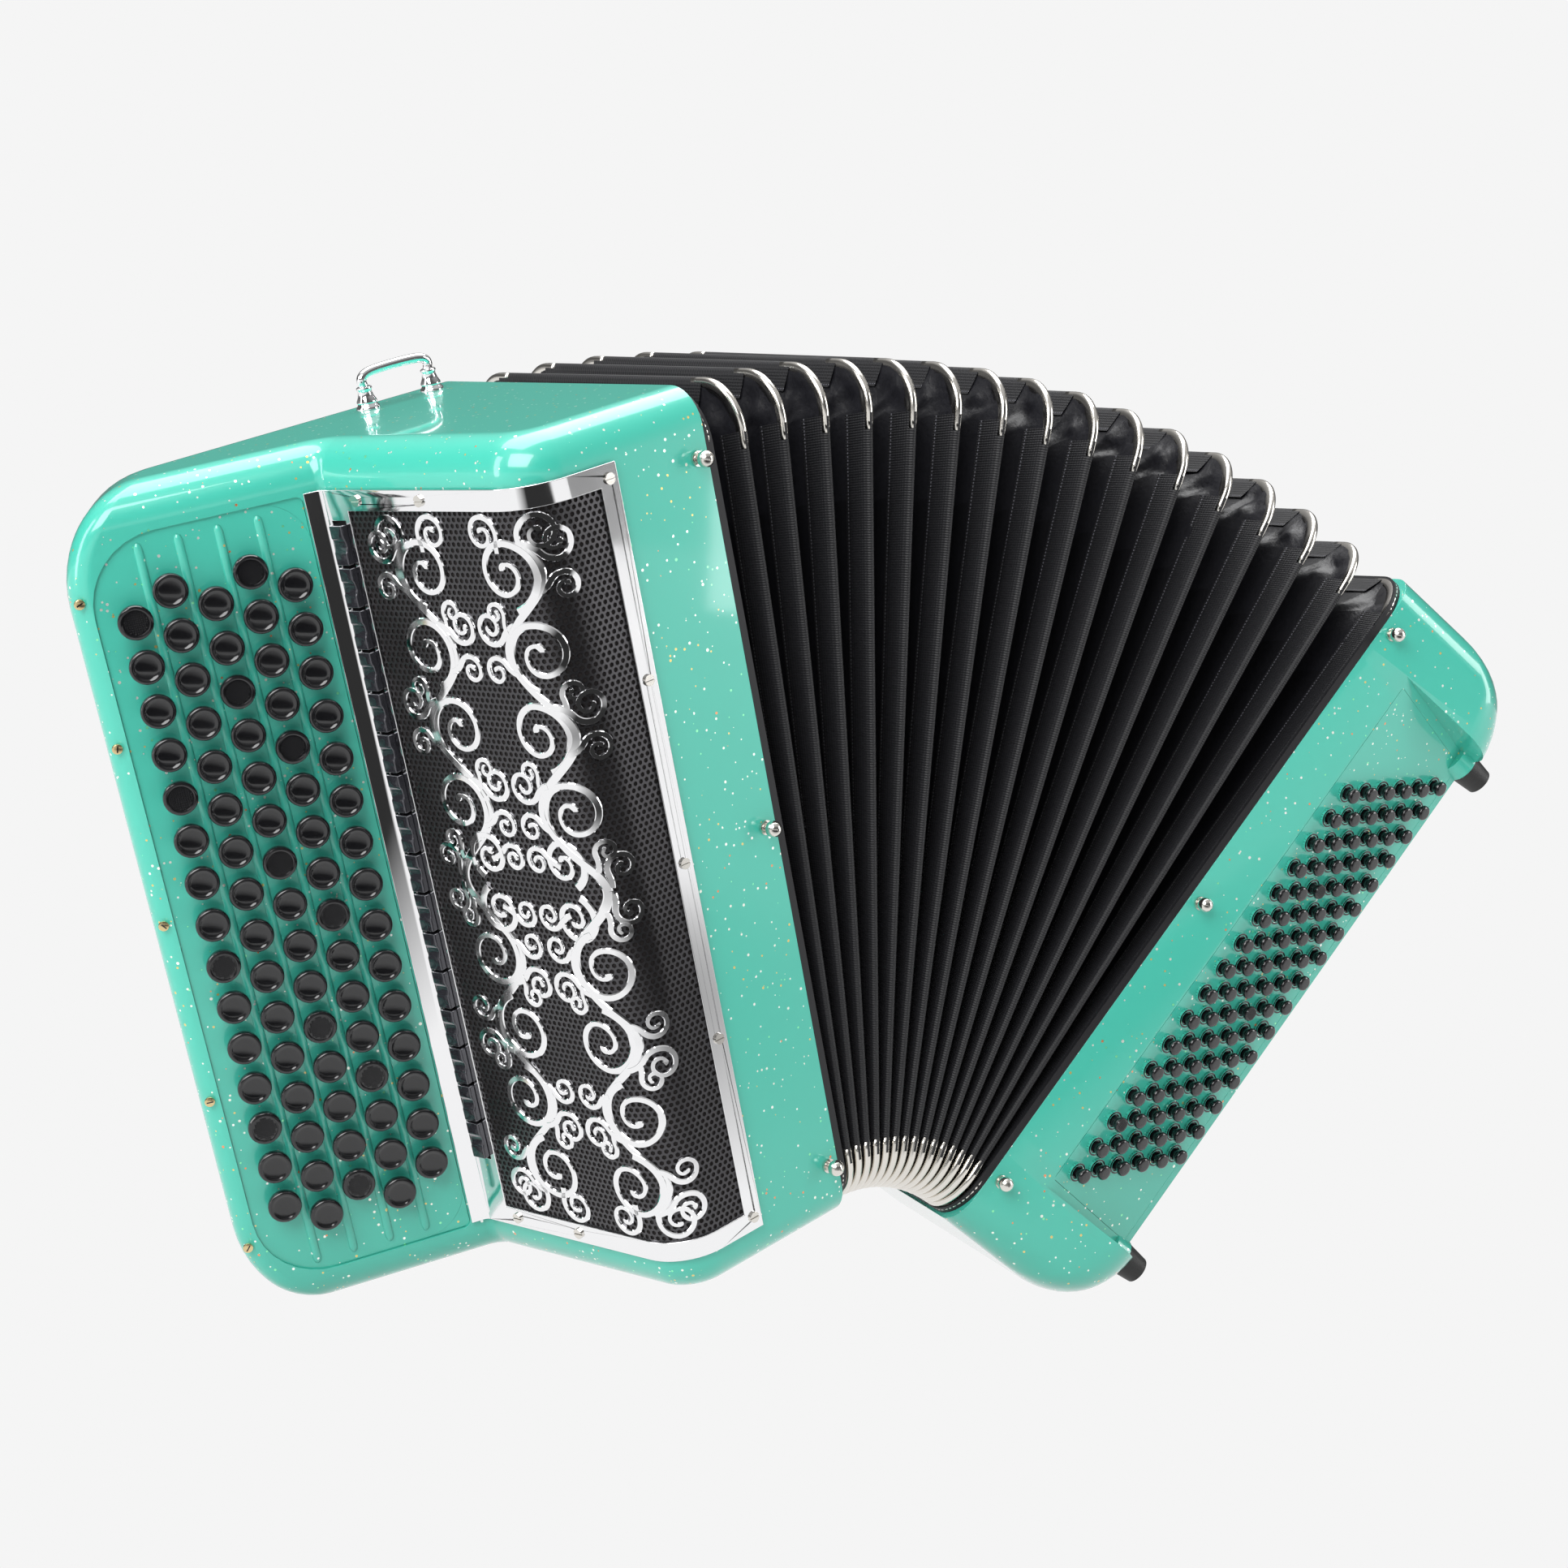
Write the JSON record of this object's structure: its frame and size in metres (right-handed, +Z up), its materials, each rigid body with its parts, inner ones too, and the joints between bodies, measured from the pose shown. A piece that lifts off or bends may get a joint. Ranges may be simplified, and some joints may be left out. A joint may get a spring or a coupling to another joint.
{
  "type": "piano accordion",
  "caption": "Chromatic button accordion with a sloping treble keyboard, scrolled grille, fanned-open bellows and a bass case with a hand strap.",
  "frame": {"origin": "middle of the box on the floor", "axes": "+Z up; +Y to the back of the instrument; +X from the treble case to the bass case, along the fan"},
  "size_m": [0.6974, 0.2988, 0.4365],
  "materials": {
    "turquoise_lacquer": "gloss lacquer with fine coloured glitter",
    "black_buttons": "polished",
    "pallet_wood": "plain sanded",
    "reed_block_wood": "plain sanded",
    "reed_plate": "milled",
    "black_mesh": "satin black",
    "chrome_trim": "polished",
    "dark_switches": "dark mirror",
    "steel_wire": "drawn wire",
    "nickel_pins": "polished nickel",
    "brass_screws": "polished",
    "bellows_end_frames": "black paint and tape",
    "bellows_tape": "black woven ribbed tape with polished corner caps",
    "bellows_pleats": "black cloth over card",
    "strap_leather": "smooth dark leather",
    "wheel_plastic": "knurled",
    "foot_rubber": "matt"
  },
  "bodies": {
    "treble_body": {"treble_casing": "turquoise_lacquer", "keyboard_plate": "turquoise_lacquer", "grille_sheet": "black_mesh", "grille_frame": "chrome_trim", "grille_scrollwork": "chrome_trim", "strap_bow_top": "chrome_trim", "strap_bow_bottom": "chrome_trim", "treble_valve_board": "pallet_wood", "pallet_axles": "steel_wire", "treble_reed_blocks": "reed_block_wood", "treble_reed_plates": "reed_plate", "bellows_pins_treble": "nickel_pins", "grille_screws": "brass_screws", "bellows_frame_treble": "bellows_end_frames", "bellows_skin": "bellows_pleats"},
    "bass_body": {"bass_casing": "turquoise_lacquer", "bass_button_panel": "turquoise_lacquer", "hand_strap": "strap_leather", "rubber_feet": "foot_rubber", "bass_valve_board": "pallet_wood", "bass_reed_blocks": "reed_block_wood", "bass_reed_plates": "reed_plate", "bellows_pins_bass": "nickel_pins", "bellows_frame_bass": "bellows_end_frames"},
    "register_switch_row": {"register_switches": "dark_switches"},
    "air_button_plunger": {"air_button": "black_buttons"},
    "strap_adjuster": {"strap_wheel": "wheel_plastic"},
    "bellows_fold_1": {"bellows_ring_1": "bellows_tape"},
    "bellows_fold_2": {"bellows_ring_2": "bellows_tape"},
    "bellows_fold_3": {"bellows_ring_3": "bellows_tape"},
    "bellows_fold_4": {"bellows_ring_4": "bellows_tape"},
    "bellows_fold_5": {"bellows_ring_5": "bellows_tape"},
    "bellows_fold_6": {"bellows_ring_6": "bellows_tape"},
    "bellows_fold_7": {"bellows_ring_7": "bellows_tape"},
    "bellows_fold_8": {"bellows_ring_8": "bellows_tape"},
    "bellows_fold_9": {"bellows_ring_9": "bellows_tape"},
    "bellows_fold_10": {"bellows_ring_10": "bellows_tape"},
    "bellows_fold_11": {"bellows_ring_11": "bellows_tape"},
    "bellows_fold_12": {"bellows_ring_12": "bellows_tape"},
    "bellows_fold_13": {"bellows_ring_13": "bellows_tape"},
    "bellows_fold_14": {"bellows_ring_14": "bellows_tape"},
    "bellows_fold_15": {"bellows_ring_15": "bellows_tape"},
    "treble_row_1": {"treble_buttons_row_1": "black_buttons"},
    "pallet_row_1": {"treble_pallets_row_1": "pallet_wood"},
    "treble_row_2": {"treble_buttons_row_2": "black_buttons"},
    "pallet_row_2": {"treble_pallets_row_2": "pallet_wood"},
    "treble_row_3": {"treble_buttons_row_3": "black_buttons"},
    "pallet_row_3": {"treble_pallets_row_3": "pallet_wood"},
    "treble_row_4": {"treble_buttons_row_4": "black_buttons"},
    "pallet_row_4": {"treble_pallets_row_4": "pallet_wood"},
    "treble_row_5": {"treble_buttons_row_5": "black_buttons"},
    "pallet_row_5": {"treble_pallets_row_5": "pallet_wood"},
    "bass_row_1": {"bass_buttons_row_1": "black_buttons"},
    "bass_row_2": {"bass_buttons_row_2": "black_buttons"},
    "bass_row_3": {"bass_buttons_row_3": "black_buttons"},
    "bass_row_4": {"bass_buttons_row_4": "black_buttons"},
    "bass_row_5": {"bass_buttons_row_5": "black_buttons"},
    "bass_row_6": {"bass_buttons_row_6": "black_buttons"}
  },
  "joints": [
    {"name": "bellows_fan", "type": "hinge", "parent": "treble_body", "child": "bass_body", "pos_m": [0.00289, 0.04007, 0.02759], "axis": [0.1354, 0.9356, -0.3261], "range_deg": [-57.8, 0], "deforming": ["bellows_skin"]},
    {"name": "fold_1_turn", "type": "hinge", "parent": "treble_body", "child": "bellows_fold_1", "pos_m": [-0.0236, 0.03558, 0.00846], "axis": [0.1354, 0.9356, -0.3261], "range_deg": [-2.58, 0.05]},
    {"name": "fold_2_turn", "type": "hinge", "parent": "treble_body", "child": "bellows_fold_2", "pos_m": [-0.02286, 0.0372, 0.01308], "axis": [0.1354, 0.9356, -0.3261], "range_deg": [-5.57, 0.05]},
    {"name": "fold_3_turn", "type": "hinge", "parent": "treble_body", "child": "bellows_fold_3", "pos_m": [-0.02156, 0.03807, 0.01582], "axis": [0.1354, 0.9356, -0.3261], "range_deg": [-8.78, 0.05]},
    {"name": "fold_4_turn", "type": "hinge", "parent": "treble_body", "child": "bellows_fold_4", "pos_m": [-0.02003, 0.03866, 0.01783], "axis": [0.1354, 0.9356, -0.3261], "range_deg": [-12.13, 0.05]},
    {"name": "fold_5_turn", "type": "hinge", "parent": "treble_body", "child": "bellows_fold_5", "pos_m": [-0.01837, 0.03909, 0.01943], "axis": [0.1354, 0.9356, -0.3261], "range_deg": [-15.59, 0.05]},
    {"name": "fold_6_turn", "type": "hinge", "parent": "treble_body", "child": "bellows_fold_6", "pos_m": [-0.01663, 0.03941, 0.02077], "axis": [0.1354, 0.9356, -0.3261], "range_deg": [-19.14, 0.05]},
    {"name": "fold_7_turn", "type": "hinge", "parent": "treble_body", "child": "bellows_fold_7", "pos_m": [-0.01483, 0.03966, 0.02192], "axis": [0.1354, 0.9356, -0.3261], "range_deg": [-22.77, 0.05]},
    {"name": "fold_8_turn", "type": "hinge", "parent": "treble_body", "child": "bellows_fold_8", "pos_m": [-0.01298, 0.03986, 0.02292], "axis": [0.1354, 0.9356, -0.3261], "range_deg": [-26.47, 0.05]},
    {"name": "fold_9_turn", "type": "hinge", "parent": "treble_body", "child": "bellows_fold_9", "pos_m": [-0.0111, 0.04, 0.0238], "axis": [0.1354, 0.9356, -0.3261], "range_deg": [-30.23, 0.05]},
    {"name": "fold_10_turn", "type": "hinge", "parent": "treble_body", "child": "bellows_fold_10", "pos_m": [-0.00918, 0.0401, 0.02458], "axis": [0.1354, 0.9356, -0.3261], "range_deg": [-34.04, 0.05]},
    {"name": "fold_11_turn", "type": "hinge", "parent": "treble_body", "child": "bellows_fold_11", "pos_m": [-0.00723, 0.04017, 0.02527], "axis": [0.1354, 0.9356, -0.3261], "range_deg": [-37.91, 0.05]},
    {"name": "fold_12_turn", "type": "hinge", "parent": "treble_body", "child": "bellows_fold_12", "pos_m": [-0.00526, 0.04021, 0.02588], "axis": [0.1354, 0.9356, -0.3261], "range_deg": [-41.82, 0.05]},
    {"name": "fold_13_turn", "type": "hinge", "parent": "treble_body", "child": "bellows_fold_13", "pos_m": [-0.00325, 0.04021, 0.02641], "axis": [0.1354, 0.9356, -0.3261], "range_deg": [-45.77, 0.05]},
    {"name": "fold_14_turn", "type": "hinge", "parent": "treble_body", "child": "bellows_fold_14", "pos_m": [-0.00123, 0.04019, 0.02687], "axis": [0.1354, 0.9356, -0.3261], "range_deg": [-49.76, 0.05]},
    {"name": "fold_15_turn", "type": "hinge", "parent": "treble_body", "child": "bellows_fold_15", "pos_m": [0.00082, 0.04014, 0.02726], "axis": [0.1354, 0.9356, -0.3261], "range_deg": [-53.79, 0.05]},
    {"name": "treble_row_1_press", "type": "slide", "parent": "treble_body", "child": "treble_row_1", "axis": [0.3646, 0.9186, 0.1527], "range_m": [0, 0.0032], "stiffness_N_per_m": 900, "springref_m": -0.004},
    {"name": "pallet_row_1_lift", "type": "hinge", "parent": "treble_body", "child": "pallet_row_1", "pos_m": [-0.14621, -0.00945, 0.21341], "axis": [-0.3105, -0.0347, 0.95], "range_deg": [-12, 0.02]},
    {"name": "treble_row_2_press", "type": "slide", "parent": "treble_body", "child": "treble_row_2", "axis": [0.3646, 0.9186, 0.1527], "range_m": [0, 0.0032], "stiffness_N_per_m": 900, "springref_m": -0.004},
    {"name": "pallet_row_2_lift", "type": "hinge", "parent": "treble_body", "child": "pallet_row_2", "pos_m": [-0.14657, 0.02453, 0.21453], "axis": [-0.3105, -0.0347, 0.95], "range_deg": [-12, 0.02]},
    {"name": "treble_row_3_press", "type": "slide", "parent": "treble_body", "child": "treble_row_3", "axis": [0.3646, 0.9186, 0.1527], "range_m": [0, 0.0032], "stiffness_N_per_m": 900, "springref_m": -0.004},
    {"name": "pallet_row_3_lift", "type": "hinge", "parent": "treble_body", "child": "pallet_row_3", "pos_m": [-0.14694, 0.05851, 0.21565], "axis": [-0.3105, -0.0347, 0.95], "range_deg": [-12, 0.02]},
    {"name": "treble_row_4_press", "type": "slide", "parent": "treble_body", "child": "treble_row_4", "axis": [0.3646, 0.9186, 0.1527], "range_m": [0, 0.0032], "stiffness_N_per_m": 900, "springref_m": -0.004},
    {"name": "pallet_row_4_lift", "type": "hinge", "parent": "treble_body", "child": "pallet_row_4", "pos_m": [-0.14731, 0.09249, 0.21677], "axis": [-0.3105, -0.0347, 0.95], "range_deg": [-12, 0.02]},
    {"name": "treble_row_5_press", "type": "slide", "parent": "treble_body", "child": "treble_row_5", "axis": [0.3646, 0.9186, 0.1527], "range_m": [0, 0.0032], "stiffness_N_per_m": 900, "springref_m": -0.004},
    {"name": "pallet_row_5_lift", "type": "hinge", "parent": "treble_body", "child": "pallet_row_5", "pos_m": [-0.14767, 0.12647, 0.21789], "axis": [-0.3105, -0.0347, 0.95], "range_deg": [-12, 0.02]},
    {"name": "bass_row_1_press", "type": "slide", "parent": "bass_body", "child": "bass_row_1", "axis": [0.0375, 0.9731, 0.2272], "range_m": [0, 0.003], "stiffness_N_per_m": 600, "springref_m": -0.004},
    {"name": "bass_row_2_press", "type": "slide", "parent": "bass_body", "child": "bass_row_2", "axis": [0.0375, 0.9731, 0.2272], "range_m": [0, 0.003], "stiffness_N_per_m": 600, "springref_m": -0.004},
    {"name": "bass_row_3_press", "type": "slide", "parent": "bass_body", "child": "bass_row_3", "axis": [0.0375, 0.9731, 0.2272], "range_m": [0, 0.003], "stiffness_N_per_m": 600, "springref_m": -0.004},
    {"name": "bass_row_4_press", "type": "slide", "parent": "bass_body", "child": "bass_row_4", "axis": [0.0375, 0.9731, 0.2272], "range_m": [0, 0.003], "stiffness_N_per_m": 600, "springref_m": -0.004},
    {"name": "bass_row_5_press", "type": "slide", "parent": "bass_body", "child": "bass_row_5", "axis": [0.0375, 0.9731, 0.2272], "range_m": [0, 0.003], "stiffness_N_per_m": 600, "springref_m": -0.004},
    {"name": "bass_row_6_press", "type": "slide", "parent": "bass_body", "child": "bass_row_6", "axis": [0.0375, 0.9731, 0.2272], "range_m": [0, 0.003], "stiffness_N_per_m": 600, "springref_m": -0.004},
    {"name": "register_switch_press", "type": "slide", "parent": "treble_body", "child": "register_switch_row", "axis": [0.9371, 0.1563, 0.312], "range_m": [0, 0.002], "stiffness_N_per_m": 900, "springref_m": -0.004},
    {"name": "air_button_press", "type": "slide", "parent": "bass_body", "child": "air_button_plunger", "axis": [-0.7542, 0.286, 0.5911], "range_m": [0, 0.003], "stiffness_N_per_m": 500, "springref_m": -0.004},
    {"name": "strap_wheel_turn", "type": "hinge", "parent": "bass_body", "child": "strap_adjuster", "pos_m": [0.32343, -0.04646, 0.27261], "axis": [-0.3545, -0.935, 0], "continuous": true}
  ],
  "couplings": [
    {"joint": "fold_1_turn", "follows": "bellows_fan", "ratio": 0.043586},
    {"joint": "fold_2_turn", "follows": "bellows_fan", "ratio": 0.095391},
    {"joint": "fold_3_turn", "follows": "bellows_fan", "ratio": 0.15083},
    {"joint": "fold_4_turn", "follows": "bellows_fan", "ratio": 0.20877},
    {"joint": "fold_5_turn", "follows": "bellows_fan", "ratio": 0.26865},
    {"joint": "fold_6_turn", "follows": "bellows_fan", "ratio": 0.33011},
    {"joint": "fold_7_turn", "follows": "bellows_fan", "ratio": 0.39292},
    {"joint": "fold_8_turn", "follows": "bellows_fan", "ratio": 0.45692},
    {"joint": "fold_9_turn", "follows": "bellows_fan", "ratio": 0.52196},
    {"joint": "fold_10_turn", "follows": "bellows_fan", "ratio": 0.58796},
    {"joint": "fold_11_turn", "follows": "bellows_fan", "ratio": 0.65481},
    {"joint": "fold_12_turn", "follows": "bellows_fan", "ratio": 0.72247},
    {"joint": "fold_13_turn", "follows": "bellows_fan", "ratio": 0.79086},
    {"joint": "fold_14_turn", "follows": "bellows_fan", "ratio": 0.85994},
    {"joint": "fold_15_turn", "follows": "bellows_fan", "ratio": 0.92967},
    {"joint": "pallet_row_1_lift", "follows": "treble_row_1_press", "rad_per_m": -65},
    {"joint": "pallet_row_2_lift", "follows": "treble_row_2_press", "rad_per_m": -65},
    {"joint": "pallet_row_3_lift", "follows": "treble_row_3_press", "rad_per_m": -65},
    {"joint": "pallet_row_4_lift", "follows": "treble_row_4_press", "rad_per_m": -65},
    {"joint": "pallet_row_5_lift", "follows": "treble_row_5_press", "rad_per_m": -65}
  ]
}
